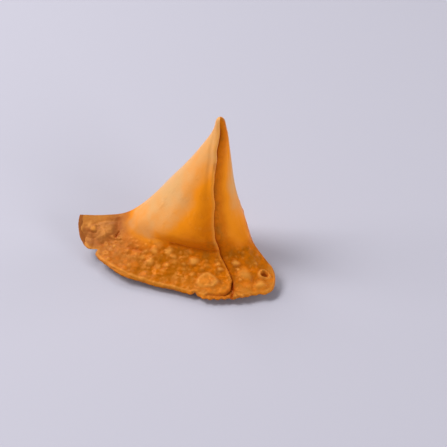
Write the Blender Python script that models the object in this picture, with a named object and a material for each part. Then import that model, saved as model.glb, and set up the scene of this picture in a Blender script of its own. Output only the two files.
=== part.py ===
"""Fried samosa: one closed solid of folded dough that stands on a flat base with its tip up.

A sheet of dough is rolled into a cone, lapped over itself down the front, filled, and pinched shut
along its wide mouth. The pinched mouth spreads out at the foot as a thick, blistered fringe whose
left end turns up into a tab. The dough is uncut, so it is solid inside.

Sizes are in millimetres and become metres where the mesh is made. +Z is up, +X runs along the
sealed fringe, and the lap faces -Y. The origin is the middle of the footprint, on the surface below.

Two numbers name a place on the dough. `along` runs from 0 at the tip to 1 at the sealed edge, and
`across` runs from -1 at the left fold to +1 at the right fold, on the front sheet and on the back
sheet alike.
"""

from typing import NamedTuple

import bmesh
import bpy
import numpy as np

METRES_PER_MM = 0.001

# ---- Driving dimensions, in millimetres ----------------------------------------------------------
LENGTH = 112.0  # the fringe, from the tab's end to its right end
DEPTH = 56.0  # the sealed edge to the back of the belly
HEIGHT = 86.0  # the base to the tip

TIP = (19.2, 15.6, 85.8)
EDGE_THICKNESS = 4.6  # the two pinched layers at the sealed edge
FRINGE_RUN = 90.0  # the length on the fringe of one whole unit of `along`
FOOT_SWELL = 3.5  # how far the belly's left foot stands forward above the fringe

LAP_RAISE = 0.9  # how far the upper layer's edge stands above the cone
LAP_SINK = 1.3  # how far the lower layer lies under the cone beside that edge
LAP_SPREAD = 9.0  # how far to each side the cone takes to run level again
LAP_ROUND = 1.3  # the part of the upper layer that rounds over at its edge
HEM_SETBACK = 3.4  # the upper layer's hem stops this far short of the sealed edge
HEM_SLOPE = 1.2  # the run of the step down from the hem
HEM_ACROSS = (0.26, 0.40)  # where the hem comes out from under, left of the lap's corner

FILLING_SWELL = 0.45  # the broad swellings where the filling presses on the dough

# ---- Facets --------------------------------------------------------------------------------------
LEFT_PANEL_CELLS = 36
RIGHT_PANEL_CELLS = 18
BODY_ROWS = 18
FRINGE_ROWS = 19
EDGE_ROWS = 4
CURVE_SAMPLES = 240
CROWDING = 0.55  # how much closer columns stand at a panel's ends than in its middle


class Station(NamedTuple):
    """One cross-section of the rolled cone, between its tip and its sealed edge.

    The pairs hold a number for the left half and one for the right half.
    """

    along: float
    left_fold: tuple  # where the front and back sheets meet on the left
    right_fold: tuple  # and on the right
    front: tuple  # the front sheet's middle, at across = 0
    back: tuple  # the back sheet's middle
    bow: tuple = (2.0, 2.0)  # how squarely a half bows out towards its fold: 2 is an ellipse
    front_level: tuple = (2.0, 2.0)  # how long the front stays level before it climbs to the fold
    back_level: tuple = (2.0, 2.0)  # the same for the back
    lift: float = 0.0  # how far the left half stands up off the surface below


STATIONS = (
    Station(0.00, left_fold=TIP, right_fold=TIP, front=TIP, back=TIP),
    Station(
        0.02,
        left_fold=(17.8, 15.4, 84.2),
        right_fold=(20.6, 15.8, 84.2),
        front=(19.2, 14.1, 84.2),
        back=(19.2, 17.0, 84.2),
    ),
    Station(
        0.08,
        left_fold=(15.8, 14.6, 79.0),
        right_fold=(22.6, 15.4, 79.0),
        front=(19.4, 11.9, 79.0),
        back=(19.4, 18.5, 79.0),
    ),
    Station(
        0.22,
        left_fold=(8.8, 12.5, 67.0),
        right_fold=(24.2, 15.0, 66.5),
        front=(17.0, 5.5, 65.5),
        back=(16.5, 20.5, 67.0),
    ),
    Station(
        0.45,
        left_fold=(-6.0, 9.5, 46.0),
        right_fold=(27.8, 12.5, 46.0),
        front=(12.0, -4.0, 44.5),
        back=(10.5, 24.0, 46.0),
    ),
    # The widest part of the belly.
    Station(
        0.64,
        left_fold=(-21.5, 5.0, 27.5),
        right_fold=(34.0, 9.5, 26.0),
        front=(9.0, -12.0, 25.0),
        back=(6.0, 27.0, 22.0),
        bow=(2.1, 2.1),
        front_level=(3.0, 3.0),
    ),
    # The crease where the belly tucks in above the fringe.
    Station(
        0.75,
        left_fold=(-30.0, 3.0, 21.0),
        right_fold=(39.5, 6.0, 17.5),
        front=(6.0, -9.5, 17.0),
        back=(3.0, 25.0, 3.0),
        bow=(2.1, 2.1),
        front_level=(5.0, 4.0),
        back_level=(3.0, 3.0),
        lift=0.3,
    ),
    # The middle of the fringe. From here on the back sheet runs under the front one as the base.
    Station(
        0.87,
        left_fold=(-41.0, 0.0, 18.5),
        right_fold=(48.0, 2.0, 10.5),
        front=(3.0, -20.0, 9.0),
        back=(2.0, 5.0, -4.0),
        bow=(2.1, 2.2),
        front_level=(9.0, 5.0),
        back_level=(4.0, 4.0),
        lift=2.0,
    ),
    # The sealed edge, with the tab turned up at its left end.
    Station(
        1.00,
        left_fold=(-53.8, -3.5, 17.8),
        right_fold=(58.0, -4.0, 4.5),
        front=(3.0, -29.7, EDGE_THICKNESS),
        back=(3.0, -29.7, 0.0),
        bow=(2.1, 2.6),
        front_level=(14.0, 6.0),
        back_level=(9.0, 6.0),
        lift=3.2,
    ),
)

# The upper layer's edge runs down the front through this `across` at each station.
LAP_EDGE = (0.20, 0.25, 0.36, 0.55, 0.645, 0.637, 0.60, 0.70, 0.68)


class Blister(NamedTuple):
    """A bubble that the hot oil raised in the front sheet."""

    across: float
    along: float
    radius: float
    height: float


BLISTERS = (
    Blister(0.458, 0.899, radius=5.6, height=1.9),  # the large one on the upper layer's corner
    Blister(0.660, 0.925, radius=3.0, height=0.9),
    Blister(0.260, 0.809, radius=3.6, height=1.3),
    Blister(0.790, 0.818, radius=2.8, height=1.4),
    Blister(0.828, 0.884, radius=5.4, height=1.0),
    Blister(0.935, 0.962, radius=4.6, height=1.0),
    Blister(-0.252, 0.854, radius=3.0, height=1.1),
    Blister(-0.703, 0.943, radius=2.6, height=0.9),
    Blister(-0.943, 0.858, radius=6.8, height=1.8),  # the pillow on the tab
)


class Crease(NamedTuple):
    """A fold line pressed into the front sheet, through its (across, along) places."""

    places: tuple
    depth: float
    half_width: float


UNDER_BELLY = ((-0.24, 0.742), (-0.06, 0.738), (0.17, 0.740), (0.42, 0.748), (0.55, 0.736))
BESIDE_TAB = ((-0.985, 0.775), (-0.873, 0.815))
TAB_CORNER = (BESIDE_TAB[-1], (-0.820, 0.842))
BELOW_FOOT = (TAB_CORNER[-1], (-0.613, 0.839), (-0.370, 0.828))

CREASES = (
    Crease(UNDER_BELLY, depth=1.3, half_width=1.7),
    Crease(BESIDE_TAB, depth=0.9, half_width=2.2),
    Crease(TAB_CORNER, depth=1.6, half_width=1.5),
    Crease(BELOW_FOOT, depth=0.8, half_width=1.7),
)


class Notch(NamedTuple):
    """A bay in the sealed edge, where the pinched layers are shorter."""

    across: float
    half_width: float
    depth: float


NOTCHES = (
    Notch(-0.82, half_width=0.070, depth=2.6),  # under the tab
    Notch(-0.30, half_width=0.450, depth=1.3),
    Notch(0.10, half_width=0.120, depth=0.8),
    Notch(0.295, half_width=0.035, depth=1.8),
    Notch(0.60, half_width=0.070, depth=1.9),
    Notch(0.76, half_width=0.055, depth=1.9),
    Notch(0.87, half_width=0.040, depth=1.0),
)


# ---- Curves through the stations -----------------------------------------------------------------
def smooth_step(value, low, high):
    """0 below low, 1 above high, and an even slope between them."""
    part = np.clip((value - low) / (high - low), 0.0, 1.0)
    return part * part * (3.0 - 2.0 * part)


def through_stations(values, along):
    """A smooth curve through one row of numbers for each station, read at `along`."""
    knots = np.array([station.along for station in STATIONS])
    values = np.asarray(values, float).reshape(len(knots), -1)
    steps = np.diff(knots)[:, None]
    slopes = np.diff(values, axis=0) / steps
    tangents = np.empty_like(values)
    tangents[1:-1] = (slopes[:-1] * steps[1:] + slopes[1:] * steps[:-1]) / (steps[1:] + steps[:-1])
    tangents[0] = 1.5 * slopes[0] - 0.5 * tangents[1]
    tangents[-1] = 1.5 * slopes[-1] - 0.5 * tangents[-2]

    along = np.asarray(along, float)
    cell = np.clip(np.searchsorted(knots, along, side="right") - 1, 0, len(knots) - 2)
    step = steps[cell, 0][..., None]
    part = (along - knots[cell])[..., None] / step
    return (
        (1 + 2 * part) * (1 - part) ** 2 * values[cell]
        + part * (1 - part) ** 2 * step * tangents[cell]
        + part**2 * (3 - 2 * part) * values[cell + 1]
        + part**2 * (part - 1) * step * tangents[cell + 1]
    )


def foot_swell(across, along):
    """How far the belly's left foot stands forward, where it runs out evenly onto the fringe."""
    on_left = smooth_step(across, -0.98, -0.80) * (1.0 - smooth_step(across, -0.50, -0.15))
    return FOOT_SWELL * on_left * np.exp(-(((along - 0.735) / 0.055) ** 2))


def sheet(across, along, front):
    """Points of the front or the back sheet, smooth, before it has any lap, crease or blister."""
    across, along = np.broadcast_arrays(np.asarray(across, float), np.asarray(along, float))
    left = through_stations([station.left_fold for station in STATIONS], along)
    right = through_stations([station.right_fold for station in STATIONS], along)
    middle = through_stations([station.front if front else station.back for station in STATIONS], along)
    levels = [station.front_level if front else station.back_level for station in STATIONS]
    level = through_stations(levels, along)
    bow = through_stations([station.bow for station in STATIONS], along)
    lift = through_stations([station.lift for station in STATIONS], along)[..., 0]

    on_left = across < 0
    out = np.abs(across)
    fold = np.where(on_left[..., None], left, right)
    in_depth = np.sqrt(np.clip(1 - out ** np.where(on_left, bow[..., 0], bow[..., 1]), 0, 1))
    in_height = np.sqrt(np.clip(1 - out ** np.where(on_left, level[..., 0], level[..., 1]), 0, 1))
    middle_height = middle[..., 2] + lift * smooth_step(-across, 0.0, 0.75)
    swell = foot_swell(across, along) if front else 0.0
    x = middle[..., 0] + (fold[..., 0] - middle[..., 0]) * out
    y = fold[..., 1] + (middle[..., 1] - fold[..., 1]) * in_depth - swell
    z = fold[..., 2] + (middle_height - fold[..., 2]) * in_height
    return np.stack((x, y, z), axis=-1)


def lap_edge(along):
    """The upper layer's edge, as `across`, at each place along the cone."""
    return through_stations(LAP_EDGE, along)[..., 0]


def edge_setback(across):
    """How far the sealed edge lies inside its longest lobes, in `along`."""
    bays = (notch.depth * np.exp(-(((across - notch.across) / notch.half_width) ** 2)) for notch in NOTCHES)
    return sum(bays) / FRINGE_RUN


# ---- Rows and columns of the mesh ----------------------------------------------------------------
ROUNDING = EDGE_THICKNESS / 2 / FRINGE_RUN  # the stretch of `along` that rounds over at the edge


def rows_along():
    """Rows of the mesh: wide apart on the cone, close on the fringe, closest round its edge."""
    tip = np.array([0.0, 0.008, 0.02])
    body = np.linspace(0.04, 0.70, BODY_ROWS)
    fringe = np.linspace(0.70, 1.0 - ROUNDING, FRINGE_ROWS + 1)[1:]
    turn = np.linspace(0.0, np.pi / 2, EDGE_ROWS + 1)[1:]
    return np.concatenate((tip, body, fringe, 1.0 - ROUNDING + ROUNDING * np.sin(turn)))


def crowded_ends(cells):
    """Fractions from 0 to 1 that lie closer together towards both ends."""
    part = np.linspace(0.0, 1.0, cells + 1)
    return part - CROWDING * np.sin(2 * np.pi * part) / (2 * np.pi)


def columns_of_row(along):
    """Where one row's columns stand: `across`, and millimetres to the right of the lap's edge."""
    out = 1.0 - np.linspace(1.0, 0.0, CURVE_SAMPLES) ** 4
    samples = np.concatenate((-out[::-1], out[1:]))
    points = sheet(samples, along, front=True)
    lengths = np.concatenate(([0.0], np.cumsum(np.linalg.norm(np.diff(points, axis=0), axis=1))))
    edge = np.interp(lap_edge(along), samples, lengths)
    near_tip = min(1.0, lengths[-1] / 30.0)
    fold = np.array([-LAP_ROUND, -0.5, 0.0, 0.15, 0.9]) * near_tip
    left = (edge + fold[0]) * crowded_ends(LEFT_PANEL_CELLS)
    right = edge + fold[-1] + (lengths[-1] - edge - fold[-1]) * crowded_ends(RIGHT_PANEL_CELLS)
    places = np.concatenate((left, edge + fold[1:-1], right))
    return np.interp(places, lengths, samples), places - edge


# ---- Relief: what stands out of the smooth sheets ------------------------------------------------
def lap_relief(across, along, beside):
    """Height of the lap: the upper layer left of its edge, the lower layer right of it.

    `beside` is in millimetres to the right of the lap's edge. Past its hem the upper layer is gone,
    and the lower layer's rim shows in front of it.
    """
    upper = LAP_RAISE * np.exp(-((np.minimum(beside, 0.0) / LAP_SPREAD) ** 2))
    lower = -LAP_SINK * np.exp(-((np.maximum(beside, 0.0) / LAP_SPREAD) ** 2))
    on_upper = beside < 0.1
    on_rounding = on_upper & (beside > -0.3)
    relief = np.where(on_rounding, 0.3 * upper, np.where(on_upper, upper, lower))
    hem = 1.0 - HEM_SETBACK / FRINGE_RUN
    past_hem = smooth_step(along, hem - HEM_SLOPE / 2 / FRINGE_RUN, hem + HEM_SLOPE / 2 / FRINGE_RUN)
    gone = past_hem * smooth_step(across, *HEM_ACROSS) * on_upper
    on_cone = smooth_step(along, 0.0, 0.20)
    return on_cone * (relief - gone * (upper - lower))


def blister_relief(points):
    """Height of the blisters at points of the front sheet."""
    height = np.zeros(points.shape[:-1])
    for blister in BLISTERS:
        centre = sheet(blister.across, blister.along, front=True)
        away = np.linalg.norm(points - centre, axis=-1) / blister.radius
        height += blister.height * np.clip(1.0 - away**2, 0.0, 1.0) ** 1.5
    return height


def distance_to_path(points, corners):
    """Distance from each point to the nearest place on a path of straight pieces."""
    nearest = np.full(points.shape[:-1], np.inf)
    for start, end in zip(corners[:-1], corners[1:]):
        run = end - start
        part = np.clip((points - start) @ run / (run @ run), 0.0, 1.0)[..., None]
        nearest = np.minimum(nearest, np.linalg.norm(points - start - part * run, axis=-1))
    return nearest


def crease_relief(points):
    """Height of the creases, which is below zero, at points of the front sheet."""
    height = np.zeros(points.shape[:-1])
    for crease in CREASES:
        corners = np.array([sheet(across, along, front=True) for across, along in crease.places])
        height -= crease.depth * np.exp(-((distance_to_path(points, corners) / crease.half_width) ** 2))
    return height


def filling_relief(across, along):
    """Low, broad swellings where the filling presses against the dough."""
    on_body = smooth_step(along, 0.05, 0.30) * (1.0 - smooth_step(along, 0.66, 0.80))
    swelling = np.sin(5.3 * across + 9.0 * along + 0.7) * np.sin(7.0 * across - 11.0 * along + 2.1)
    return FILLING_SWELL * on_body * swelling


# ---- The solid -----------------------------------------------------------------------------------
def grid_normals(grid):
    """Unit normals of rings stacked from the tip down, each ring closed on itself."""
    round_ring = np.roll(grid, -1, axis=1) - np.roll(grid, 1, axis=1)
    down = np.gradient(grid, axis=0)
    normals = np.cross(down, round_ring)
    return normals / np.maximum(np.linalg.norm(normals, axis=-1, keepdims=True), 1e-9)


def dough_rings():
    """Rings of points from the tip to the sealed edge.

    Each ring runs from the left fold along the front to the right fold, and back along the back.
    The last ring is pinched flat: its front points and its back points are the same.
    """
    rows = rows_along()
    across, beside = (np.array(part) for part in zip(*(columns_of_row(row) for row in rows)))
    along = np.repeat(rows[:, None], across.shape[1], axis=1)
    place = along - smooth_step(along, 0.85, 1.0) * edge_setback(across)
    front = sheet(across, place, front=True)
    back = sheet(across, place, front=False)

    turned = np.clip((along - 1.0 + ROUNDING) / ROUNDING, 0.0, 1.0)
    open_share = np.sqrt(1.0 - turned**2)[..., None]
    middle = (front + back) / 2
    front = middle + (front - middle) * open_share
    back = middle + (back - middle) * open_share

    front_relief = (
        lap_relief(across, along, beside)
        + blister_relief(front)
        + crease_relief(front)
        + filling_relief(across, along)
    )
    back_relief = filling_relief(across + 2.0, along)
    off_folds = smooth_step(1.0 - np.abs(across), 0.0, 0.02)
    share = off_folds * (1.0 - turned**2)

    behind = slice(-2, 0, -1)
    rings = np.concatenate((front, back[:, behind]), axis=1)
    relief = np.concatenate((front_relief * share, (back_relief * share)[:, behind]), axis=1)
    rings += grid_normals(rings) * relief[..., None]
    rings[..., 2] = np.maximum(rings[..., 2], 0.0)
    return rings


def fit_to_size(rings):
    """The rings at the driving length, depth and height, with the footprint's middle at the origin."""
    low = rings.min(axis=(0, 1))
    high = rings.max(axis=(0, 1))
    centre = (low + high) / 2
    centre[2] = low[2]
    return (rings - centre) * np.array([LENGTH, DEPTH, HEIGHT]) / (high - low)


def closed_mesh(name, rings):
    """A closed mesh over the rings: a fan at the tip, and one line of points along the sealed edge."""
    around = rings.shape[1]
    mesh = bmesh.new()
    tip = mesh.verts.new(rings[0, 0] * METRES_PER_MM)
    grid = [[tip] * around]
    for ring in rings[1:-1]:
        grid.append([mesh.verts.new(point * METRES_PER_MM) for point in ring])
    seal = [mesh.verts.new(point * METRES_PER_MM) for point in rings[-1, : around // 2 + 1]]
    grid.append(seal + seal[-2:0:-1])
    for upper, lower in zip(grid[:-1], grid[1:]):
        for column in range(around):
            following = (column + 1) % around
            corners = (upper[column], lower[column], lower[following], upper[following])
            mesh.faces.new(list(dict.fromkeys(corners)))
    bmesh.ops.recalc_face_normals(mesh, faces=mesh.faces)
    bmesh.ops.triangulate(mesh, faces=mesh.faces)
    data = bpy.data.meshes.new(name)
    mesh.to_mesh(data)
    mesh.free()
    data.shade_smooth()
    return data


def fried_dough():
    """Deep-fried wheat dough: golden orange, with the low gloss of a little oil."""
    material = bpy.data.materials.new("fried_dough")
    material.use_nodes = True
    shader = material.node_tree.nodes["Principled BSDF"]
    shader.inputs["Base Color"].default_value = (0.60, 0.26, 0.06, 1.0)
    shader.inputs["Roughness"].default_value = 0.48
    shader.inputs["Metallic"].default_value = 0.0
    return material


def main():
    """Build the samosa in an emptied scene."""
    for old in list(bpy.data.objects):
        bpy.data.objects.remove(old, do_unlink=True)
    samosa = bpy.data.objects.new("samosa", closed_mesh("samosa", fit_to_size(dough_rings())))
    samosa.data.materials.append(fried_dough())
    bpy.context.scene.collection.objects.link(samosa)


main()
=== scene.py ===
"""Fried samosa: a deep-fried cone of folded dough that stands on its flat base with its tip up.

One sheet of dough is rolled into a cone, lapped over itself down the front, pinched shut along a wide
fringe, and blistered by hot oil. The crust stands in for the frame's plain solid and fills its box.

Lengths are in millimetres and become metres where a mesh or a light is made. +Z is up, +X runs along the
fringe, and the lap faces -Y. Two numbers name a place on the dough. `along` runs from 0 at the tip to 1 at
the sealed edge, and `across` runs from -1 at the left fold to +1 at the right fold, front and back alike.
"""

import logging
import math
from collections.abc import Iterator
from dataclasses import dataclass, field
from enum import Enum

import bpy
import numpy as np
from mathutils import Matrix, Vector


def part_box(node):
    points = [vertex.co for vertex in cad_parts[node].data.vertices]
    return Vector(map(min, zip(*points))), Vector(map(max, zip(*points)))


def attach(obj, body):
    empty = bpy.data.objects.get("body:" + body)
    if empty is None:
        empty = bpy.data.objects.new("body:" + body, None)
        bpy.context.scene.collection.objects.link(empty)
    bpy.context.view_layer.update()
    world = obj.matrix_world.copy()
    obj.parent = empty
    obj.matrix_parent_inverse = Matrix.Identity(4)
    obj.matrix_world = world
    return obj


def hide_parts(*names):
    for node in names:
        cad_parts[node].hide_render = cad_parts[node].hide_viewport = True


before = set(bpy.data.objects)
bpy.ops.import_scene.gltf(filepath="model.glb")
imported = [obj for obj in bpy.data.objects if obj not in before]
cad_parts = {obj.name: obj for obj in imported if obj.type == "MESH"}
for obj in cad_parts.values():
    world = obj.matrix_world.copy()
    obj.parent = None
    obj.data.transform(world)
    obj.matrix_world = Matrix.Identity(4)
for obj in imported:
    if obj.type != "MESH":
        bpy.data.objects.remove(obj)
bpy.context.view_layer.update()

LOG = logging.getLogger("samosa")
MM = 0.001
WELD = 0.0005
CLEARANCE = 0.01

Array = np.ndarray
Numbers = np.ndarray | float
Point = tuple[float, float, float]
Place = tuple[float, float]
Pair = tuple[float, float]


# ---- Named choices ----
class Side(Enum):
    """Which sheet of the rolled cone a point is on."""

    FRONT = 1.0
    BACK = -1.0


class BlisterKind(Enum):
    """How a bubble in the dough ended up."""

    DOME = "a whole round bubble"
    RIDGED = "a bubble that sank in rings inside its rim"
    DIMPLED = "a small bubble with a hollow in its middle"
    BURST = "a bubble that broke open"


# ---- The shape's own numbers ----
@dataclass(frozen=True)
class Station:
    """One cross-section of the rolled cone, where a pair holds a left and a right number.

    Attributes:
        along: Its place between the tip and the sealed edge.
        left_fold: Where the front and the back sheet meet on the left.
        right_fold: Where they meet on the right.
        front: The front sheet's middle.
        back: The back sheet's middle.
        lap: The `across` through which the upper layer's edge runs.
        bow: How squarely a half bows out towards its fold, where 2 is an ellipse.
        front_level: How long the front stays level before it climbs to the fold.
        back_level: The same for the back.
        lift: How far the left half stands up off the surface below.
    """

    along: float
    left_fold: Point
    right_fold: Point
    front: Point
    back: Point
    lap: float
    bow: Pair = (2.0, 2.0)
    front_level: Pair = (2.0, 2.0)
    back_level: Pair = (2.0, 2.0)
    lift: float = 0.0


TIP: Point = (18.5, 15.6, 85.8)
EDGE_TOP = 5.0
EDGE_LIFT = 2.4

STATIONS = (
    Station(0.00, TIP, TIP, TIP, TIP, lap=0.05),
    Station(0.02, (17.1, 15.4, 85.0), (19.9, 15.8, 85.0), (18.5, 14.1, 85.0), (18.5, 17.0, 85.0), lap=0.12),
    Station(0.08, (15.4, 14.6, 79.0), (21.8, 15.4, 79.0), (18.8, 11.9, 79.0), (18.8, 18.5, 79.0), lap=0.22),
    Station(0.22, (8.8, 12.5, 67.0), (23.6, 15.0, 66.5), (16.8, 5.5, 65.5), (16.5, 20.5, 67.0), lap=0.39),
    Station(0.45, (-6.0, 9.5, 46.0), (27.2, 12.5, 46.0), (12.0, -4.0, 44.5), (10.5, 23.6, 46.0), lap=0.565),
    # The widest part of the belly.
    Station(
        0.64,
        (-21.5, 5.0, 27.5),
        (34.0, 9.5, 26.0),
        (9.0, -12.0, 25.0),
        (6.0, 26.2, 22.0),
        lap=0.592,
        bow=(2.1, 2.1),
        front_level=(3.0, 3.0),
    ),
    # The crease where the belly tucks in above the fringe.
    Station(
        0.75,
        (-30.0, 3.0, 21.0),
        (39.5, 6.0, 17.5),
        (6.0, -10.6, 16.6),
        (3.0, 24.3, 3.0),
        lap=0.595,
        bow=(2.1, 2.1),
        front_level=(5.0, 4.0),
        back_level=(3.0, 3.0),
        lift=0.3,
    ),
    # The middle of the fringe. From here on the back sheet runs under the front one as the base.
    Station(
        0.87,
        (-41.0, 0.0, 18.5),
        (48.0, 2.0, 10.5),
        (3.0, -20.0, 9.0),
        (2.0, 5.0, -2.0),
        lap=0.682,
        bow=(2.1, 2.2),
        front_level=(9.0, 5.0),
        back_level=(4.0, 4.0),
        lift=2.0,
    ),
    # The sealed edge, which lifts a little off what it stands on, with the tab turned up at its left end.
    Station(
        1.00,
        (-53.8, -3.5, 17.8),
        (59.3, -7.0, 4.8),
        (3.0, -30.5, EDGE_TOP),
        (3.0, -30.5, EDGE_LIFT),
        lap=0.638,
        bow=(2.1, 3.0),
        front_level=(14.0, 6.0),
        back_level=(5.0, 6.0),
        lift=3.2,
    ),
)


@dataclass(frozen=True)
class Blister:
    """A bubble that the hot oil raised in the dough.

    Attributes:
        across: Its place between the folds.
        along: Its place between the tip and the sealed edge.
        radius: Its radius on the dough.
        height: How far it stands up.
        kind: How it ended up.
        pale_and_highlight_share: How much lighter its top is, from 0 to 1, partly paler fried skin and
            partly a painted highlight.
    """

    across: float
    along: float
    radius: float
    height: float
    kind: BlisterKind = BlisterKind.DOME
    pale_and_highlight_share: float = 0.6


@dataclass(frozen=True)
class Crease:
    """A fold line pressed into the front sheet.

    Attributes:
        places: The (across, along) places that it runs through.
        depth: How deep it is pressed.
        half_width: The distance at which it has all but gone.
        painted_shade_share: How much shade is painted into it, from 0 to 1.
    """

    places: tuple[Place, ...]
    depth: float
    half_width: float
    painted_shade_share: float = 0.6


@dataclass(frozen=True)
class Bay:
    """A stretch of the sealed edge where the pinched layers are shorter.

    Attributes:
        across: Its middle.
        half_width: Its half width, in `across`.
        depth: How far the edge lies back.
    """

    across: float
    half_width: float
    depth: float


BLISTERS = (
    # On the upper layer's corner: a wide one that sank in ridges, and its neighbours.
    Blister(0.430, 0.908, 5.2, 1.5, BlisterKind.RIDGED, pale_and_highlight_share=0.9),
    Blister(0.520, 0.915, 2.8, 0.8, pale_and_highlight_share=0.4),
    Blister(0.560, 0.816, 1.7, 0.9, pale_and_highlight_share=0.7),
    Blister(0.588, 0.841, 1.7, 0.9),
    # Along the middle of the fringe.
    Blister(0.252, 0.810, 3.0, 1.2, pale_and_highlight_share=0.8),
    Blister(0.135, 0.833, 1.4, 0.5, pale_and_highlight_share=0.4),
    Blister(0.270, 0.876, 1.8, 0.6, pale_and_highlight_share=0.4),
    Blister(-0.037, 0.806, 2.0, 0.5),
    Blister(-0.055, 0.856, 1.8, 0.8),
    Blister(-0.260, 0.868, 2.8, 1.2, pale_and_highlight_share=0.8),
    Blister(-0.285, 0.882, 1.7, 0.6, BlisterKind.DIMPLED),
    Blister(-0.312, 0.802, 2.6, 0.8, pale_and_highlight_share=0.7),
    Blister(-0.343, 0.760, 3.4, 0.4, pale_and_highlight_share=0.45),
    Blister(-0.130, 0.790, 3.0, 0.6),
    # Towards the tab.
    Blister(-0.805, 0.902, 1.7, 0.6, BlisterKind.DIMPLED, pale_and_highlight_share=0.5),
    Blister(-0.740, 0.880, 1.3, 0.5, pale_and_highlight_share=0.4),
    Blister(-0.700, 0.946, 2.3, 0.8, BlisterKind.DIMPLED),
    Blister(-0.615, 0.972, 1.4, 0.6, pale_and_highlight_share=0.5),
    # On the tab itself: a pillow, and two smaller bubbles at the tab's end.
    Blister(-0.935, 0.869, 6.4, 1.7, pale_and_highlight_share=0.25),
    Blister(-0.968, 0.924, 2.3, 0.9, pale_and_highlight_share=0.8),
    Blister(-0.985, 0.943, 2.6, 0.6, pale_and_highlight_share=0.4),
    # Right of the lap: some that ran together, and one that broke open.
    Blister(0.772, 0.812, 2.4, 1.3, pale_and_highlight_share=0.9),
    Blister(0.820, 0.876, 4.6, 1.2, pale_and_highlight_share=0.55),
    Blister(0.782, 0.844, 1.3, 0.6, pale_and_highlight_share=0.7),
    Blister(0.765, 0.902, 1.2, 0.6, pale_and_highlight_share=0.7),
    Blister(0.953, 0.845, 1.1, 0.5, pale_and_highlight_share=0.5),
    Blister(0.958, 0.913, 3.4, 1.2, BlisterKind.BURST, pale_and_highlight_share=0.9),
    Blister(0.898, 0.948, 3.6, 1.4, pale_and_highlight_share=0.75),
    # Crumbs pinched out of the sealed edge.
    Blister(0.285, 0.985, 1.2, 0.6),
    Blister(0.318, 0.980, 1.4, 0.7),
    Blister(0.625, 0.985, 1.3, 0.6, pale_and_highlight_share=0.5),
    Blister(0.672, 0.985, 1.4, 0.7),
    Blister(0.728, 0.985, 1.2, 0.7),
    Blister(0.790, 0.985, 1.2, 0.6, pale_and_highlight_share=0.5),
)

UNDER_BELLY = ((-0.20, 0.742), (-0.06, 0.740), (0.17, 0.742), (0.42, 0.748), (0.56, 0.736))
BESIDE_TAB = ((-0.990, 0.790), (-0.930, 0.800), (-0.880, 0.812))
TAB_CORNER = (BESIDE_TAB[-1], (-0.835, 0.840))
BELOW_FOOT = ((-0.610, 0.841), (-0.458, 0.828))
LAP_NICK = ((0.370, 0.243), (0.390, 0.272))

CREASES = (
    Crease(UNDER_BELLY, depth=0.8, half_width=1.0, painted_shade_share=0.2),
    Crease(BESIDE_TAB, depth=0.4, half_width=1.4, painted_shade_share=0.3),
    Crease(TAB_CORNER, depth=0.9, half_width=0.6, painted_shade_share=0.85),
    Crease(BELOW_FOOT, depth=0.5, half_width=0.9, painted_shade_share=0.5),
    Crease(LAP_NICK, depth=0.5, half_width=0.8, painted_shade_share=0.4),
)

# Where the fringe begins, as (across, along) places.
FRINGE_START = ((-0.93, 0.735), (-0.85, 0.74), (-0.45, 0.735), (-0.20, 0.72), (0.60, 0.73), (0.75, 0.71))

BAYS = (
    Bay(-0.785, 0.022, 2.0),  # the notch under the tab
    Bay(-0.765, 0.050, 0.9),
    Bay(-0.420, 0.170, -0.8),
    Bay(0.100, 0.120, 0.2),
    Bay(0.300, 0.022, 0.9),
    Bay(0.390, 0.080, -0.7),  # the lower layer's own lobe
    Bay(0.600, 0.040, 0.2),
    Bay(0.700, 0.020, 0.7),
    Bay(0.775, 0.050, 0.6),
    Bay(0.820, 0.110, 0.9),
    Bay(0.850, 0.030, 0.4),
)


# ---- Curves ----
def smooth_step(value: Numbers, low: float, high: float) -> Numbers:
    """Ease from 0, which it is up to the low value, to 1, which it is from the high value on."""
    part = np.clip((value - low) / (high - low), 0.0, 1.0)
    return part * part * (3.0 - 2.0 * part)


def hump(value: Numbers, middle: float, half_width: float) -> Numbers:
    """Make a bell of height 1, which is about a third as high at its half width."""
    return np.exp(-(((value - middle) / half_width) ** 2))


def unit(vectors: Array) -> Array:
    """Bring vectors to a length of 1."""
    return vectors / np.maximum(np.linalg.norm(vectors, axis=-1, keepdims=True), 1e-9)


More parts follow.
